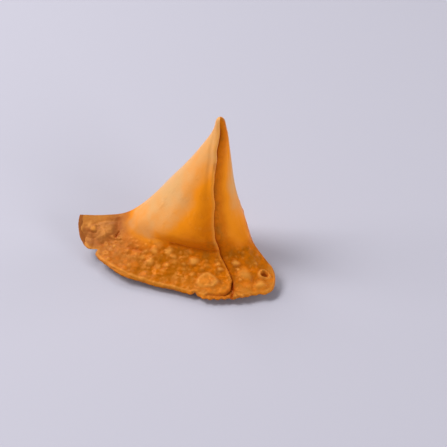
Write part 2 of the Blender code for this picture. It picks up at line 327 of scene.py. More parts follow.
@dataclass
class RolledCone:
    """The rolled dough's smooth shape, before it has a lap, a crease or a blister.

    Attributes:
        stations: Its cross-sections, from the tip to the sealed edge.
        foot_swell: How far the belly's left foot stands forward above the fringe.
        end_swell: How far the right fold bulges just above the sealed edge.
    """

    stations: tuple[Station, ...] = STATIONS
    foot_swell: float = 1.7
    end_swell: Point = (0.6, 1.4, 0.4)

    def read(self, name: str, along: Numbers) -> Array:
        """Read one field of the stations along a smooth curve through them.

        Args:
            name: The field's name.
            along: Where to read it.

        Returns:
            The field's numbers there, as one more axis after those of along.
        """
        knots = np.array([station.along for station in self.stations])
        values = np.array([getattr(station, name) for station in self.stations], float)
        values = values.reshape(len(knots), -1)
        steps = np.diff(knots)[:, None]
        slopes = np.diff(values, axis=0) / steps
        tangents = np.empty_like(values)
        tangents[1:-1] = (slopes[:-1] * steps[1:] + slopes[1:] * steps[:-1]) / (steps[1:] + steps[:-1])
        tangents[0] = 1.5 * slopes[0] - 0.5 * tangents[1]
        tangents[-1] = 1.5 * slopes[-1] - 0.5 * tangents[-2]

        along = np.asarray(along, float)
        cell = np.clip(np.searchsorted(knots, along, side="right") - 1, 0, len(knots) - 2)
        step = steps[cell, 0][..., None]
        part = (along - knots[cell])[..., None] / step
        return (
            (1 + 2 * part) * (1 - part) ** 2 * values[cell]
            + part * (1 - part) ** 2 * step * tangents[cell]
            + part**2 * (3 - 2 * part) * values[cell + 1]
            + part**2 * (part - 1) * step * tangents[cell + 1]
        )

    def surface(self, across: Numbers, along: Numbers, side: Side = Side.FRONT) -> Array:
        """Find points of one sheet.

        Args:
            across: Their places between the folds.
            along: Their places between the tip and the sealed edge.
            side: The sheet they are on.

        Returns:
            The points, as one more axis of x, y and z.
        """
        across, along = np.broadcast_arrays(np.asarray(across, float), np.asarray(along, float))
        middle = self.read(side.name.lower(), along)
        level = self.read(f"{side.name.lower()}_level", along)
        bow = self.read("bow", along)

        on_left = across < 0
        out = np.abs(across)
        swollen = self.end_swell * hump(along, 0.950, 0.045)[..., None]
        right_fold = self.read("right_fold", along) + swollen
        fold = np.where(on_left[..., None], self.read("left_fold", along), right_fold)
        in_depth = np.sqrt(np.clip(1 - out ** np.where(on_left, bow[..., 0], bow[..., 1]), 0, 1))
        in_height = np.sqrt(np.clip(1 - out ** np.where(on_left, level[..., 0], level[..., 1]), 0, 1))
        lift = self.read("lift", along)[..., 0] * smooth_step(-across, 0.0, 0.75)
        swell = self.foot(across, along) if side is Side.FRONT else 0.0
        x = middle[..., 0] + (fold[..., 0] - middle[..., 0]) * out
        y = fold[..., 1] + (middle[..., 1] - fold[..., 1]) * in_depth - swell
        z = fold[..., 2] + (middle[..., 2] + lift - fold[..., 2]) * in_height
        return np.stack((x, y, z), axis=-1)

    def foot(self, across: Array, along: Array) -> Array:
        """Measure how far the belly's left foot stands forward at each place."""
        on_left = smooth_step(across, -0.98, -0.80) * (1.0 - smooth_step(across, -0.50, -0.15))
        return self.foot_swell * on_left * hump(along, 0.750, 0.070)

    def ways(self, across: float, along: float, side: Side) -> Array:
        """Find the directions round one sheet and down it.

        Args:
            across: A place between the folds.
            along: A place between the tip and the sealed edge.
            side: The sheet it is on.

        Returns:
            Two unit vectors, round and down.
        """
        step = 0.004
        here = self.surface(across, along, side)
        beside, above = (across - step, along), (across, along - step)
        return unit(here - np.array([self.surface(*place, side) for place in (beside, above)]))

    def directions(self, across: Array, along: Array, side: Side) -> tuple[Array, Array]:
        """Find the directions that point straight out of one sheet, and down it.

        Args:
            across: Places between the folds.
            along: Places between the tip and the sealed edge.
            side: The sheet they are on.

        Returns:
            Unit vectors outwards and unit vectors down, each as one more axis of x, y and z.
        """
        step = 0.002
        sideways = self.surface(np.clip(across + step, -1, 1), along, side)
        sideways = sideways - self.surface(np.clip(across - step, -1, 1), along, side)
        down = self.surface(across, np.clip(along + step, 0, 1), side)
        down = down - self.surface(across, np.clip(along - step, 0, 1), side)
        return unit(np.cross(down, sideways) * side.value), unit(down)


# ---- The lap ----
@dataclass
class Lap:
    """Where the sheet's upper layer ends on its lower one, down the front of the cone.

    Attributes:
        raised: How far the upper layer's edge stands above the cone.
        sunk: How far the lower layer lies under the cone beside it.
        spread: How far to each side the cone takes to run level again.
        bead: How far the upper layer's rim stands up along its edge.
        lip: The edge's own section, as millimetres right of the edge and above the cone.
        hem: Where the upper layer ends above the sealed edge, as (across, along) places.
        hem_slope: The length of the step down from the hem, in `along`.
        hem_groove: How deep the line is in which that step ends.
        hem_line: The half width of that line, in `along`.
        waver: How far the lap's edge wanders off its smooth line.
        roll: How far its rim rolls up beside the tip.
        full_width: The front's width from which the lap stands at its full height.
        flattening: How much lower it lies on the fringe.
    """

    raised: float = 0.9
    sunk: float = 1.35
    spread: float = 9.0
    bead: float = 0.28
    lip: tuple[Pair, ...] = (
        *((-1.15, 1.08), (-0.70, 1.05), (-0.32, 0.86), (-0.08, 0.50), (0.00, 0.08), (-0.10, -0.34)),
        *((-0.38, -0.66), (-0.62, -0.92), (-0.50, -1.22), (-0.10, -1.36), (0.45, -1.36)),
    )
    hem: tuple[Place, ...] = (
        *((0.34, 1.020), (0.39, 0.992), (0.43, 0.978), (0.50, 0.977), (0.56, 0.974)),
        *((0.60, 0.966), (0.63, 0.952), (0.66, 0.925), (0.68, 0.905)),
    )
    hem_slope: float = 0.007
    hem_groove: float = 0.75
    hem_line: float = 0.006
    waver: float = 0.24
    roll: float = 0.45
    full_width: float = 30.0
    flattening: float = 0.55

    def wandering(self, along: float) -> float:
        """Measure how far to the right the lap's edge wanders, as torn dough does.

        Args:
            along: A place between the tip and the sealed edge.

        Returns:
            The distance.
        """
        waves = ((1.0, 29.0, 0.6), (0.6, 53.0, 2.0), (0.25, 97.0, 0.0))
        total = sum(size * math.sin(pace * along + start) for size, pace, start in waves)
        return self.waver * total * min(1.0, 8.0 * along)

    def upper(self, beside: Array) -> Array:
        """Measure how high the upper layer stands above the cone, over its distance from the edge."""
        rim = hump(beside, -1.1, 0.9) - 0.5 * hump(beside, -3.3, 1.4)
        return self.raised * hump(beside, 0.0, self.spread) + self.bead * rim

    def lower(self, beside: Array) -> Array:
        """Measure how high the lower layer stands, which is below 0, over that distance."""
        return -self.sunk * hump(beside, 0.0, self.spread)

    def below_hem(self, across: Array, along: Array) -> Array:
        """Measure in `along` how far each place lies past the upper layer's hem."""
        return along - np.interp(across, *zip(*self.hem))

    def past_hem(self, across: Array, along: Array) -> Array:
        """Give 1 where the upper layer has ended and 0 where it is whole."""
        ended = smooth_step(self.below_hem(across, along), 0.0, self.hem_slope)
        return ended * smooth_step(across, 0.35, 0.41)


# ---- Blisters ----
def bubble_section(kind: BlisterKind, away: Array) -> Array:
    """Give one kind of bubble's height over its distance from the middle.

    Args:
        kind: The kind of bubble.
        away: Distance from the middle, where 1 is the bubble's radius.

    Returns:
        Its height, where 1 is a whole bubble's.
    """
    dome = np.clip(1.0 - away**2, 0.0, 1.0)
    moat = 0.07 * hump(away, 1.12, 0.16)
    if kind is BlisterKind.RIDGED:
        rings = ((0.18, 0.76, 0.14), (0.08, 0.46, 0.11), (0.18, 0.06, 0.20))
        ridges = sum(size * hump(away, middle, half_width) for size, middle, half_width in rings)
        return 0.75 * np.clip(1.0 - away**2.4, 0.0, 1.0) + ridges - moat
    if kind is BlisterKind.DIMPLED:
        return dome - 0.95 * hump(away, 0.0, 0.36) - moat
    if kind is BlisterKind.BURST:
        hole = 1.0 - smooth_step(away, 0.40, 0.62)
        return 0.9 * dome**0.5 + 0.35 * hump(away, 0.70, 0.13) - 1.9 * hole
    return dome**1.25 * (1.0 + 0.25 * away**2) - moat


def bubble_pale_and_highlight(kind: BlisterKind, away: Array) -> Array:
    """Give how much one kind of bubble is lightened over its distance from the middle, partly for its paler
    skin and partly as a painted highlight on its crown and rim.

    Args:
        kind: The kind of bubble.
        away: Distance from the middle, where 1 is the bubble's radius.

    Returns:
        How much it is lightened, from 0 to 1.
    """
    dome = np.clip(1.0 - away**2, 0.0, 1.0)
    if kind in (BlisterKind.RIDGED, BlisterKind.BURST):
        return 0.4 * dome + 0.6 * hump(away, 0.82, 0.16)
    return dome**1.6


@dataclass
class Sheet:
    """One sheet of the rolled cone, point by point, and what the frying adds to it.

    Attributes:
        cone: The cone that it belongs to.
        side: Which of the cone's sheets it is.
        across: Each column's own place between the folds.
        along: Each row's own place between the tip and the sealed edge.
        beside: Millimetres right of the lap's edge.
        spots: Where each point really lies, as `across` and `along`, with the lip turned under and the
            sealed edge drawn in.
        height: How far each point moves out of the sheet.
        points: The sheet's smooth points.
        pale_and_highlight: How much each point is lightened, from 0 to 1, partly for a bubble's paler skin
            and partly as a painted highlight on bubbles, the lap's rim, the tab's end and the sealed edge.
        painted_shade: How much painted shade each point has, in a crease, a hollow, a hole or under the
            lap's lip, from 0 to 1.
    """

    cone: RolledCone
    side: Side
    across: Array
    along: Array
    beside: Array
    spots: tuple[Array, Array]
    height: Array
    points: Array = field(init=False)
    pale_and_highlight: Array = field(init=False)
    painted_shade: Array = field(init=False)

    def __post_init__(self) -> None:
        """Lay the points on the cone, with nothing lightened and no painted shade yet."""
        self.points = self.cone.surface(*self.spots, self.side)
        self.pale_and_highlight, self.painted_shade = np.zeros_like(self.height), np.zeros_like(self.height)

    def lighten(self, pale_and_highlight_share: Array) -> None:
        """Lighten the points at least this much, for paler skin and for painted highlights."""
        self.pale_and_highlight = np.maximum(self.pale_and_highlight, pale_and_highlight_share)

    def darken(self, painted_shade_share: Array) -> None:
        """Paint at least this much shade into the points."""
        self.painted_shade = np.maximum(self.painted_shade, painted_shade_share)

    def add_blister(self, blister: Blister) -> None:
        """Raise one bubble, a little out of round, lighten its top and paint shade round its foot.

        Args:
            blister: The bubble.
        """
        offset = self.points - self.cone.surface(blister.across, blister.along, self.side)
        near = (np.abs(offset) < 1.7 * blister.radius).all(axis=-1)
        turn = np.arctan2(*(self.cone.ways(blister.across, blister.along, self.side) @ offset[near].T))
        start = 40.0 * blister.across
        uneven = 1.0 + 0.10 * np.sin(2 * turn + start) + 0.07 * np.sin(3 * turn - 2.3 * start)
        away = np.linalg.norm(offset[near], axis=-1) / (blister.radius * uneven)
        section = bubble_section(blister.kind, away)
        self.height[near] += blister.height * section
        # Lighten the bubble, partly for its paler skin and partly as a painted highlight on its crown and
        # rim.
        self.pale_and_highlight[near] = np.maximum(self.pale_and_highlight[near], blister.pale_and_highlight_share * bubble_pale_and_highlight(blister.kind, away))
        # Painted shade in the ring round the bubble's foot, in a dimple and in a burst bubble's hole.
        moat = 0.12 * min(1.0, 2.0 * blister.height) * hump(away, 1.12, 0.20)
        hollow = np.clip(-0.7 * section, 0.0, 1.0) + moat
        if blister.kind is BlisterKind.DIMPLED:
            hollow = 0.8 * hump(away, 0.0, 0.30)
        self.painted_shade[near] = np.maximum(self.painted_shade[near], hollow)

    def add_crease(self, crease: Crease) -> None:
        """Press one fold line in, and paint shade into it.

        Args:
            crease: The fold line.
        """
        corners = [self.cone.surface(*place, self.side) for place in crease.places]
        nearest = np.full(self.points.shape[:-1], np.inf)
        for start, end in zip(corners[:-1], corners[1:]):
            run = end - start
            part = np.clip((self.points - start) @ run / (run @ run), 0.0, 1.0)[..., None]
            nearest = np.minimum(nearest, np.linalg.norm(self.points - start - part * run, axis=-1))
        bell = hump(nearest, 0.0, crease.half_width)
        self.height -= crease.depth * bell
        self.darken(crease.painted_shade_share * bell)


def joined(front: Array, back: Array) -> Array:
    """Join what the two sheets hold into rings, each of which ends where it began."""
    return np.concatenate((front, back[:, -2::-1]), axis=1)


@dataclass(frozen=True)
class Undulation:
    """Soft lumps and hollows, as the sum of many even waves.

    Attributes:
        amplitude: How high the lumps are.
        wavelengths: The shortest and the longest wave.
        stretch: How much longer the lumps are along the fringe than across it.
        waves: How many waves there are.
        seed: What their directions are drawn from.
    """

    amplitude: float
    wavelengths: Pair
    stretch: float = 1.0
    waves: int = 26
    seed: int = 3

    def height(self, points: Array) -> Array:
        """Measure the lumps.

        Args:
            points: Where to measure them.

        Returns:
            Their height there, above or below 0.
        """
        chance = np.random.default_rng(self.seed)
        points = points / (self.stretch, 1.0, 1.0)
        total = np.zeros(points.shape[:-1])
        for _ in range(self.waves):
            towards = chance.normal(size=3)
            length = chance.uniform(*self.wavelengths)
            start = chance.uniform(0, 2 * np.pi)
            total += np.sin(points @ (towards / np.linalg.norm(towards)) * 2 * np.pi / length + start)
        return self.amplitude * total / math.sqrt(self.waves / 2)


# ---- Finishes ----
def linear(hex_colour: str) -> tuple[float, float, float, float]:
    """Turn an sRGB hex colour into the linear one that shaders use.

    Args:
        hex_colour: Such as "#d98a35".

    Returns:
        Linear red, green and blue, and an alpha of 1.
    """
    parts = [int(hex_colour[start : start + 2], 16) / 255 for start in (1, 3, 5)]
    red, green, blue = (c / 12.92 if c <= 0.04045 else ((c + 0.055) / 1.055) ** 2.4 for c in parts)
    return red, green, blue, 1.0


def add_node(
    tree: bpy.types.NodeTree,
    kind: str,
    settings: dict[str, object] | None = None,
    inputs: dict[str | int, object] | None = None,
) -> bpy.types.Node:
    """Add one node, set it up and link it.

    Args:
        tree: The tree it joins.
        kind: The node's type, without the "ShaderNode" in front.
        settings: Its properties.
        inputs: For each input, a value or the output socket that feeds it.

    Returns:
        The node.
    """
    node = tree.nodes.new(f"ShaderNode{kind}")
    for name, value in (settings or {}).items():
        setattr(node, name, value)
    for name, value in (inputs or {}).items():
        if isinstance(value, bpy.types.NodeSocket):
            tree.links.new(value, node.inputs[name])
        else:
            node.inputs[name].default_value = value
    return node


def new_material(name: str) -> tuple[bpy.types.Material, bpy.types.NodeTree, bpy.types.Node]:
    """Add a material with a bare surface shader.

    Args:
        name: The material's name.

    Returns:
        The material, its node tree, and its surface shader.
    """
    material = bpy.data.materials.new(name)
    material.use_nodes = True
    return material, material.node_tree, material.node_tree.nodes["Principled BSDF"]


@dataclass(frozen=True)
class FriedDough:
    """Wheat dough, deep-fried in oil: golden where it is smooth, browner and mottled on the fringe, with
    painted shade and painted highlights mixed into its colour.

    Attributes:
        straw: The colour of the smooth dough that browned least, also laid where the painted highlight
            falls on the left face.
        golden: The cone's colour beside the lap, where it is partly painted shade.
        amber: The colour of the dough that browned more.
        brown: The colour of the thin fringe, which browned most.
        skin: A blister's thin, dry skin, also the colour of the painted highlights on bubbles, the lap's
            rim, the tab's end and the sealed edge.
        tan: The thick dough of the tab, which dried without browning much.
        painted_shade_colour: The colour of the painted shade in creases, hollows, the burst hole and under
            the lap's lip.
        sheen: The tint of what its oily skin mirrors.
        roughness: The least and the most roughness, where oil lies and where it doesn't.
        patch: The size of a broad patch of even browning.
        mottle: The size of the small patches inside it.
        pimple: The size of the smallest bubbles in the skin.
        film: The size of a patch that oil wets.
        grain: The size of the skin's finest bumps.
    """

    straw: str = "#cf9d64"
    golden: str = "#e98813"
    amber: str = "#c96905"
    brown: str = "#a35804"
    skin: str = "#dd933f"
    tan: str = "#8c532c"
    painted_shade_colour: str = "#983a03"
    sheen: str = "#ffae4c"
    roughness: Pair = (0.32, 0.54)
    patch: float = 11.0
    mottle: float = 3.6
    pimple: float = 1.5
    film: float = 6.0
    grain: float = 0.9

    def material(self) -> bpy.types.Material:
        """Make the material.

        Returns:
            The material, which reads Object coordinates and the crust's own attributes.
        """
        material, tree, shader = new_material("deep_fried_wheat_dough")
        place = add_node(tree, "TexCoord").outputs["Object"]
        browned, pale_and_highlight, painted_shade, dried = (
            add_node(tree, "Attribute", {"attribute_name": name}).outputs["Fac"]
            for name in ("browned", "pale_and_highlight", "painted_shade", "dried")
        )
        eased = {"interpolation_type": "SMOOTHSTEP"}

        def noise(size: float, detail: float = 2.0) -> bpy.types.NodeSocket:
            """Add a noise whose patches are about `size` millimetres wide."""
            inputs = {"Vector": place, "Scale": 1.0 / (size * MM), "Detail": detail}
            return add_node(tree, "TexNoise", None, inputs).outputs["Fac"]

        def ramp(value: bpy.types.NodeSocket, low: float, high: float, to: Pair) -> bpy.types.NodeSocket:
            """Ease a value from one range to another."""
            inputs = {"Value": value, "From Min": low, "From Max": high, "To Min": to[0], "To Max": to[1]}
            return add_node(tree, "MapRange", eased, inputs).outputs["Result"]

        def math_of(kind: str, first: object, second: object) -> bpy.types.NodeSocket:
            """Add or multiply two values."""
            return add_node(tree, "Math", {"operation": kind}, {0: first, 1: second}).outputs[0]

        def mixed(share: object, first: object, second: object) -> bpy.types.NodeSocket:
            """Mix two colours."""
            inputs = {"Factor": share, 6: first, 7: second}
            return add_node(tree, "Mix", {"data_type": "RGBA"}, inputs).outputs[2]

        broad = noise(self.patch)
        small = noise(self.mottle, 3.0)
        on_fringe = ramp(browned, 0.45, 0.85, (0.0, 1.0))
        share = math_of("ADD", browned, ramp(broad, 0.30, 0.70, (-0.03, 0.03)))
        share = math_of("ADD", share, ramp(noise(self.mottle * 1.6, 3.0), 0.35, 0.65, (-0.02, 0.02)))
        mottled = math_of("MULTIPLY", on_fringe, ramp(small, 0.3, 0.7, (-0.13, 0.13)))
        share = math_of("ADD", share, mottled)
        colour = mixed(ramp(share, 0.0, 0.36, (0.0, 1.0)), linear(self.straw), linear(self.golden))
        colour = mixed(ramp(share, 0.30, 0.70, (0.0, 1.0)), colour, linear(self.amber))
        colour = mixed(ramp(share, 0.66, 1.0, (0.0, 1.0)), colour, linear(self.brown))
        colour = mixed(dried, colour, linear(self.tan))
        flecked = math_of("MULTIPLY", on_fringe, ramp(small, 0.5, 0.75, (0.0, 0.15)))
        # Paler skin, and the painted highlights on bubbles, the lap's rim, the tab's end and the sealed
        # edge.
        colour = mixed(math_of("ADD", pale_and_highlight, flecked), colour, linear(self.skin))
        # Painted shade in creases, hollows, the burst hole and under the lap's lip.
        colour = mixed(painted_shade, colour, linear(self.painted_shade_colour))
        tree.links.new(colour, shader.inputs["Base Color"])

        dryness = math_of("ADD", noise(self.film), math_of("MULTIPLY", browned, 0.05))
        tree.links.new(ramp(dryness, 0.35, 0.75, self.roughness), shader.inputs["Roughness"])
        shader.inputs["IOR"].default_value = 1.45
        shader.inputs["Specular IOR Level"].default_value = 0.4
        shader.inputs["Specular Tint"].default_value = linear(self.sheen)

        cells = {"Vector": place, "Scale": 1.0 / (self.pimple * MM), "Smoothness": 0.6}
        pimples = add_node(tree, "TexVoronoi", {"feature": "SMOOTH_F1"}, cells).outputs["Distance"]
        pimples = math_of("MULTIPLY", ramp(pimples, 0.0, 0.6, (1.0, 0.0)), math_of("ADD", browned, 0.12))
        grainy = {"Strength": 0.5, "Distance": 0.10 * MM, "Height": noise(self.grain, 3.0)}
        fine = add_node(tree, "Bump", None, grainy).outputs["Normal"]
        bubbly = {"Strength": 0.4, "Distance": 0.18 * MM, "Height": pimples, "Normal": fine}
        skin = add_node(tree, "Bump", None, bubbly).outputs["Normal"]
        tree.links.new(skin, shader.inputs["Normal"])
        return material


@dataclass(frozen=True)
class MattCounter:
    """Pale stoneware, ground flat and left unglazed, which mirrors nothing.

    Attributes:
        colour: The bare clay's colour.
        roughness: How rough the ground clay is.
        shine: How strongly it mirrors, where 0.5 is plain glass.
    """

    colour: str = "#b3b1bc"
    roughness: float = 0.8
    shine: float = 0.0

    def material(self) -> bpy.types.Material:
        """Make the material.

        Returns:
            The material.
        """
        material, _, shader = new_material("ground_stoneware_counter")
        shader.inputs["Base Color"].default_value = linear(self.colour)
        shader.inputs["Roughness"].default_value = self.roughness
        shader.inputs["Specular IOR Level"].default_value = self.shine
        return material


# ---- The crust ----
@dataclass
class FriedCrust:
    """The samosa's whole crust, as one closed skin of dough.

    Attributes:
        cone: Its smooth shape.
        lap: The lap down its front.
        finish: What it is made of.
        left_cells: Columns of cells left of the lap's edge.
        right_cells: Columns of cells right of it.
        body_rows: Rows of cells on the cone.
        fringe_rows: Rows of cells on the fringe.
        edge_rows: Rows of cells round the sealed edge.
        samples: How many points measure one half of a row.
        crowding: How much closer columns stand at a panel's ends than in its middle.
        fringe_run: The length on the fringe of one whole unit of `along`.
        corner: How much of the fringe's right corner is rounded off.
        small_blisters: How many places on the fringe are tried for a small bubble.
        pinpricks: How many tiny, low bubbles the smooth front has.
        back_bubbles: How many low bubbles the back has.
        crumble: The fringe's lumps, from the broad ones to the crumbs.
        patchiness: How unevenly the back browned.
        seed: What the small bubbles' places are drawn from.
    """

    cone: RolledCone
    lap: Lap
    finish: FriedDough
    left_cells: int = 190
    right_cells: int = 92
    body_rows: int = 74
    fringe_rows: int = 78
    edge_rows: int = 8
    samples: int = 500
    crowding: float = 0.45
    fringe_run: float = 90.0
    corner: float = 8.0
    small_blisters: int = 240
    pinpricks: int = 34
    back_bubbles: int = 70
    crumble: tuple[Undulation, ...] = (
        Undulation(0.22, (5.0, 11.0)),
        Undulation(0.07, (2.0, 4.5), seed=4),
        Undulation(0.08, (1.5, 3.0), stretch=2.6, seed=5),
    )
    patchiness: Undulation = Undulation(0.05, (14.0, 40.0), seed=9)
    seed: int = 7

    @property
    def rounding(self) -> float:
        """The stretch of `along` that rounds over at the sealed edge."""
        return (EDGE_TOP - EDGE_LIFT) / 2 / self.fringe_run

    def rows(self) -> Array:
        """Place the rows of points.

        Returns:
            Their `along` values, which are closest round the sealed edge.
        """
        tip = np.array([0.0, 0.004, 0.010, 0.018])
        body = np.linspace(0.028, 0.68, self.body_rows)
        fringe = np.linspace(0.68, 1.0 - self.rounding, self.fringe_rows + 1)[1:]
        turn = np.linspace(0.0, math.pi / 2, self.edge_rows + 1)[1:]
        return np.concatenate((tip, body, fringe, 1.0 - self.rounding + self.rounding * np.sin(turn)))

    def spaced(self, cells: int) -> Array:
        """Space the columns of a panel so many cells wide, as fractions that crowd at both ends."""
        part = np.linspace(0.0, 1.0, cells + 1)
        return part - self.crowding * np.sin(2 * np.pi * part) / (2 * np.pi)

    def columns(self, along: float) -> tuple[Array, Array, Array, Array]:
        """Place one row's columns.

        Args:
            along: The row's place.

        Returns:
            Four numbers for each column: `across` on the front, `across` on the back, millimetres right
            of the lap's edge, and height above the cone. On the back the columns never turn back on
            themselves, as they do under the lip on the front.
        """
        out = 1.0 - np.linspace(1.0, 0.0, self.samples) ** 4
        samples = np.concatenate((-out[::-1], out[1:]))
        points = self.cone.surface(samples, np.full_like(samples, along))
        lengths = np.concatenate(([0.0], np.cumsum(np.linalg.norm(np.diff(points, axis=0), axis=1))))
        edge = np.interp(self.cone.read("lap", along)[0], samples, lengths) + self.lap.wandering(along)
        scale = np.clip(lengths[-1] / self.lap.full_width, 0.01, 1.0)
        scale *= 1.0 - self.lap.flattening * smooth_step(along, 0.74, 0.93)

        lip = np.array(self.lap.lip) * scale
        left = (edge + lip[0, 0]) * self.spaced(self.left_cells) - edge
        right = lip[-1, 0] + (lengths[-1] - edge - lip[-1, 0]) * self.spaced(self.right_cells)
        even = np.concatenate((left, np.linspace(lip[0, 0], lip[-1, 0], len(lip))[1:-1], right))
        turned = np.concatenate((left, lip[1:-1, 0], right))
        upper, lower = self.lap.upper(left / scale) * scale, self.lap.lower(right / scale) * scale
        raised = np.concatenate((upper, lip[1:-1, 1], lower))
        across = np.interp(even + edge, lengths, samples)
        left_of_edge = np.arange(len(even)) < len(left) + len(lip) - 2
        gone = self.lap.past_hem(across, along) * left_of_edge
        turned = turned + (even - turned) * gone
        raised = (raised + (self.lap.lower(even) - raised) * gone) * smooth_step(along, 0.0, 0.10)
        return np.interp(turned + edge, lengths, samples), across, turned, raised

    def setback(self, across: Array) -> Array:
        """Measure how far the sealed edge lies inside its longest lobes.

        Args:
            across: Places between the folds.

        Returns:
            The distance, in `along`.
        """
        bays = sum(bay.depth * hump(across, bay.across, bay.half_width) for bay in BAYS)
        crumbly = smooth_step(across, 0.15, 0.40)
        ripple = np.sin(37.0 * across + 1.3) * np.sin(59.0 * across) * (0.10 + 0.24 * crumbly)
        round_off = self.corner * (1.0 - np.sqrt(1.0 - np.clip((across - 0.93) / 0.07, 0.0, 1.0) ** 2))
        return (bays + ripple + round_off) / self.fringe_run

    def all_blisters(self) -> Iterator[Blister]:
        """Give every bubble of the front sheet.

        Yields:
            The large bubbles, then small ones that keep clear of them.
        """
        yield from BLISTERS
        chance = np.random.default_rng(self.seed)
        taken = [(self.cone.surface(b.across, b.along), b.radius) for b in BLISTERS if b.radius < 6]
        for _ in range(self.small_blisters):
            across = chance.uniform(-0.97, 0.985)
            along = chance.uniform(0.755, 0.985)
            radius = 0.8 + 1.5 * chance.random() ** 2
            share = chance.uniform(0.14, 0.30)
            pale_and_highlight_share = chance.uniform(0.0, 0.34)
            point = self.cone.surface(across, along)
            if chance.random() > self.fringe(across, along) * self.bubbling(across, along):
                continue
            if any(np.linalg.norm(point - other) < 0.80 * (radius + reach) for other, reach in taken):
                continue
            taken.append((point, radius))
            yield Blister(across, along, radius, radius * share, pale_and_highlight_share=pale_and_highlight_share)
        for _ in range(self.pinpricks):
            radius = chance.uniform(0.7, 1.3)
            spot = (chance.uniform(-0.85, 0.45), 0.30 + 0.42 * chance.random() ** 0.6)
            yield Blister(*spot, radius, 0.10 * radius, pale_and_highlight_share=chance.uniform(0.05, 0.25))

    def fringe(self, across: Numbers, along: Numbers) -> Numbers:
        """Tell where the front is fringe, which blisters and browns.

        Args:
            across: Places between the folds.
            along: Places between the tip and the sealed edge.

        Returns:
            0 on the filled cone up to 1 on the fringe.
        """
        starts = np.interp(across, *zip(*FRINGE_START))
        widths = np.interp(across, (-0.45, 0.00), (0.12, 0.07))
        return smooth_step((along - starts) / widths, 0.0, 1.0)

    def bubbling(self, across: float, along: float) -> float:
        """Tell how thickly the fringe is set with small bubbles there, from 0 to 1."""
        flat_patch = math.exp(-(((across + 0.48) / 0.17) ** 2) - ((along - 0.915) / 0.035) ** 2)
        return 1.0 - 0.9 * flat_patch

    def back_blisters(self) -> Iterator[Blister]:
        """Give the few low bubbles of the cone's back.

        Yields:
            Bubbles with places on the back sheet.
        """
        chance = np.random.default_rng(self.seed + 1)
        for _ in range(self.back_bubbles):
            along = 0.30 + 0.48 * chance.random() ** 0.7
            radius = 0.9 + 1.6 * chance.random() ** 2
            yield Blister(chance.uniform(-0.95, 0.95), along, radius, 0.24 * radius, pale_and_highlight_share=0.5)

    def lay_out_dough(self, rows: int, around: int) -> bpy.types.Object:
        """Add the flat sheet that is rolled up.

        Args:
            rows: How many rows of points it has.
            around: How many columns of cells it has.

        Returns:
            The sheet, two units on a side.
        """
        bpy.ops.object.select_all(action="DESELECT")
        bpy.ops.mesh.primitive_grid_add(x_subdivisions=around, y_subdivisions=rows - 1, size=2.0)
        dough = bpy.context.object
        dough.name = dough.data.name = "fried_crust"
        return dough

    def build(self) -> bpy.types.Object:
        """Roll, fry and seal the dough.

        Returns:
            The crust's object.
        """
        rows = self.rows()
        columns = [self.columns(float(row)) for row in rows]
        turned_across, across, beside, raised = (np.array(part) for part in zip(*columns))
        along = np.repeat(rows[:, None], across.shape[1], axis=1)
        place = along - smooth_step(along, 0.85, 1.0) * self.setback(across)
        front = Sheet(self.cone, Side.FRONT, across, along, beside, (turned_across, place), raised)
        swelling = self.filling(across + 2.0, along)
        back = Sheet(self.cone, Side.BACK, across, along, beside, (across, place), swelling)

        self.mark_lap(front)
        self.mark_hem(front)
        self.lighten_edges(front)
        self.fry(front)
        for blister in self.back_blisters():
            back.add_blister(blister)

        front_points, back_points = self.seal(front, back)
        back_browned = self.back_browning(back) + self.patchiness.height(back_points)
        dried = self.drying(front)
        looks = {
            "browned": joined(self.front_browning_and_painted_light(front), back_browned),
            "pale_and_highlight": joined(front.pale_and_highlight, back.pale_and_highlight),
            "painted_shade": joined(front.painted_shade, back.painted_shade),
            "dried": joined(dried, dried),
        }
        return self.roll(joined(front_points, back_points), looks)

    def mark_lap(self, front: Sheet) -> None:
        """Roll up the upper layer's rim beside the tip, and paint shade under the lap's lip and a highlight
        along its rim from the tip down.

        Args:
            front: The front sheet, which has the lap's step and nothing else yet.
        """
        begun = smooth_step(front.along, 0.02, 0.10)
        # Painted shade under the lap's lip and on the lower layer beside it, where the upper layer shades
        # it.
        below = (front.height < -0.3) * begun
        tucked = np.maximum(front.beside, 0.0)
        under_lip = 0.9 * hump(front.beside, -0.1, 0.7) + 0.25 * hump(tucked, 0.0, 2.6)
        front.darken(below * np.minimum(under_lip, 0.9))
        # Painted highlight along the upper layer's rim, where it catches the light; weaker on the fringe.
        rim = hump(front.beside, -0.7, 0.8) * (front.height > 0.0) * begun
        front.lighten(rim * (0.5 - 0.3 * smooth_step(front.along, 0.62, 0.80)))
        rolled = hump(front.beside, -1.5, 0.9) - 0.7 * hump(front.beside, -3.4, 0.9)
        front.height += self.lap.roll * rolled * hump(front.along, 0.24, 0.15) * (front.beside < 0.0)

    def mark_hem(self, front: Sheet) -> None:
        """Press in the line where the upper layer ends on the lower one's rim, and paint shade into it.

        Args:
            front: The front sheet.
        """
        beyond = self.lap.below_hem(front.across, front.along)
        line = hump(beyond, 1.1 * self.lap.hem_slope, self.lap.hem_line)
        line *= smooth_step(front.across, 0.37, 0.43) * (front.beside < 0.0)
        front.height -= self.lap.hem_groove * line
        front.darken(0.6 * line)

    def lighten_edges(self, front: Sheet) -> None:
        """Lighten the tab's end with a painted highlight, the fringe's plain end as paler dough, and the
        sealed edge partly as paler thin dough and partly with a painted highlight.

        Args:
            front: The front sheet.
        """
        across, along = front.across, front.along
        # Painted highlight on the tab's end, where it catches the light.
        front.lighten(0.35 * smooth_step(-across, 0.965, 0.995) * smooth_step(along, 0.80, 0.87))
        front.lighten(0.20 * smooth_step(across, 0.05, 0.35) * smooth_step(along, 0.89, 0.95))
